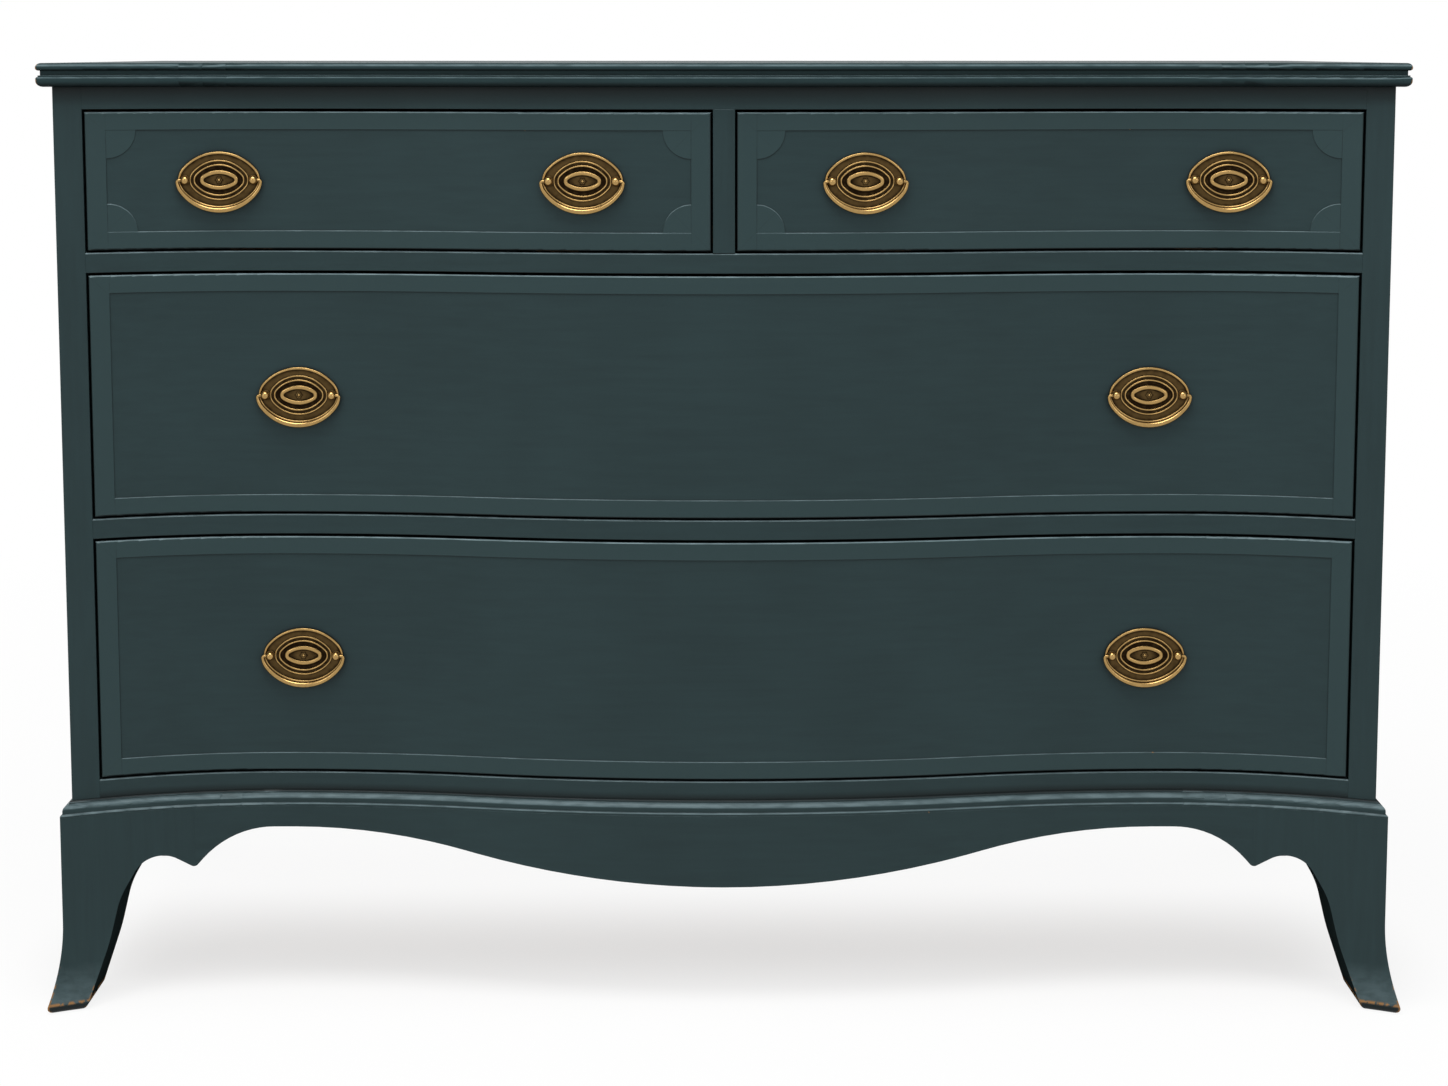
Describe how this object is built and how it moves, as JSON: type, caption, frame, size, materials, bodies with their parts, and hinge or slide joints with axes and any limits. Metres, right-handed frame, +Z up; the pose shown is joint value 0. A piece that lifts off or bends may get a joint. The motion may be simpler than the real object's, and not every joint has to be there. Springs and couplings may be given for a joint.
{
  "type": "dresser",
  "caption": "Serpentine-front dresser with small drawers over deep ones, oval bail pulls, a moulded top, a scalloped apron and splayed bracket feet.",
  "frame": {"origin": "on the floor, midway between the sides and midway between the front toes and the back edge of the top", "axes": "+X to the viewer's right along the width, +Y to the back, +Z up; the drawers open towards -Y"},
  "size_m": [1.2906, 0.6172, 0.902],
  "materials": {
    "paint": "satin",
    "bare_wood": "matte",
    "brass": "aged satin",
    "steel": "satin"
  },
  "bodies": {
    "carcase": {"top_board": "paint", "left_side_panel": "paint", "right_side_panel": "paint", "front_stiles": "paint", "top_rail": "paint", "centre_stile": "paint", "upper_drawer_rail": "paint", "lower_drawer_rail": "paint", "bottom_rail": "paint", "base_moulding": "paint", "front_apron": "paint", "side_aprons": "paint", "front_left_foot": "paint", "front_right_foot": "paint", "rear_left_foot": "paint", "rear_right_foot": "paint", "back_panel": "bare_wood", "runner_frames": "bare_wood", "dust_panels": "bare_wood", "centre_guides": "bare_wood", "base_rear_rail": "bare_wood", "corner_blocks": "bare_wood", "drawer_stops": "bare_wood", "carcase_screws": "steel"},
    "upper_left_drawer": {"upper_left_drawer_front": "paint", "upper_left_drawer_sides": "bare_wood", "upper_left_drawer_back": "bare_wood", "upper_left_drawer_bottom": "bare_wood", "upper_left_drawer_runner": "bare_wood", "upper_left_drawer_pull_plates": "brass", "upper_left_drawer_pull_posts": "brass"},
    "upper_left_drawer_left_bail": {"upper_left_drawer_left_bail": "brass"},
    "upper_left_drawer_right_bail": {"upper_left_drawer_right_bail": "brass"},
    "upper_right_drawer": {"upper_right_drawer_front": "paint", "upper_right_drawer_sides": "bare_wood", "upper_right_drawer_back": "bare_wood", "upper_right_drawer_bottom": "bare_wood", "upper_right_drawer_runner": "bare_wood", "upper_right_drawer_pull_plates": "brass", "upper_right_drawer_pull_posts": "brass"},
    "upper_right_drawer_left_bail": {"upper_right_drawer_left_bail": "brass"},
    "upper_right_drawer_right_bail": {"upper_right_drawer_right_bail": "brass"},
    "middle_drawer": {"middle_drawer_front": "paint", "middle_drawer_sides": "bare_wood", "middle_drawer_back": "bare_wood", "middle_drawer_bottom": "bare_wood", "middle_drawer_runner": "bare_wood", "middle_drawer_pull_plates": "brass", "middle_drawer_pull_posts": "brass"},
    "middle_drawer_left_bail": {"middle_drawer_left_bail": "brass"},
    "middle_drawer_right_bail": {"middle_drawer_right_bail": "brass"},
    "bottom_drawer": {"bottom_drawer_front": "paint", "bottom_drawer_sides": "bare_wood", "bottom_drawer_back": "bare_wood", "bottom_drawer_bottom": "bare_wood", "bottom_drawer_runner": "bare_wood", "bottom_drawer_pull_plates": "brass", "bottom_drawer_pull_posts": "brass"},
    "bottom_drawer_left_bail": {"bottom_drawer_left_bail": "brass"},
    "bottom_drawer_right_bail": {"bottom_drawer_right_bail": "brass"}
  },
  "joints": [
    {"name": "upper_left_drawer_slide", "type": "slide", "parent": "carcase", "child": "upper_left_drawer", "axis": [0, -1, 0], "range_m": [0, 0.4]},
    {"name": "upper_left_drawer_left_bail_hinge", "type": "hinge", "parent": "upper_left_drawer", "child": "upper_left_drawer_left_bail", "pos_m": [-0.47679, -0.23968, 0.792], "axis": [-0.9938, -0.1115, 0], "range_deg": [0, 180]},
    {"name": "upper_left_drawer_right_bail_hinge", "type": "hinge", "parent": "upper_left_drawer", "child": "upper_left_drawer_right_bail", "pos_m": [-0.13276, -0.26903, 0.792], "axis": [-0.9943, 0.1069, 0], "range_deg": [0, 180]},
    {"name": "upper_right_drawer_slide", "type": "slide", "parent": "carcase", "child": "upper_right_drawer", "axis": [0, -1, 0], "range_m": [0, 0.4]},
    {"name": "upper_right_drawer_left_bail_hinge", "type": "hinge", "parent": "upper_right_drawer", "child": "upper_right_drawer_left_bail", "pos_m": [0.13276, -0.26903, 0.792], "axis": [-0.9943, -0.1069, 0], "range_deg": [0, 180]},
    {"name": "upper_right_drawer_right_bail_hinge", "type": "hinge", "parent": "upper_right_drawer", "child": "upper_right_drawer_right_bail", "pos_m": [0.47679, -0.23968, 0.792], "axis": [-0.9938, 0.1115, 0], "range_deg": [0, 180]},
    {"name": "middle_drawer_slide", "type": "slide", "parent": "carcase", "child": "middle_drawer", "axis": [0, -1, 0], "range_m": [0, 0.4]},
    {"name": "middle_drawer_left_bail_hinge", "type": "hinge", "parent": "middle_drawer", "child": "middle_drawer_left_bail", "pos_m": [-0.40611, -0.2363, 0.587], "axis": [-0.9998, 0.0184, 0], "range_deg": [0, 180]},
    {"name": "middle_drawer_right_bail_hinge", "type": "hinge", "parent": "middle_drawer", "child": "middle_drawer_right_bail", "pos_m": [0.40611, -0.2363, 0.587], "axis": [-0.9998, -0.0184, 0], "range_deg": [0, 180]},
    {"name": "bottom_drawer_slide", "type": "slide", "parent": "carcase", "child": "bottom_drawer", "axis": [0, -1, 0], "range_m": [0, 0.4]},
    {"name": "bottom_drawer_left_bail_hinge", "type": "hinge", "parent": "bottom_drawer", "child": "bottom_drawer_left_bail", "pos_m": [-0.40611, -0.2363, 0.334], "axis": [-0.9998, 0.0184, 0], "range_deg": [0, 180]},
    {"name": "bottom_drawer_right_bail_hinge", "type": "hinge", "parent": "bottom_drawer", "child": "bottom_drawer_right_bail", "pos_m": [0.40611, -0.2363, 0.334], "axis": [-0.9998, -0.0184, 0], "range_deg": [0, 180]}
  ]
}
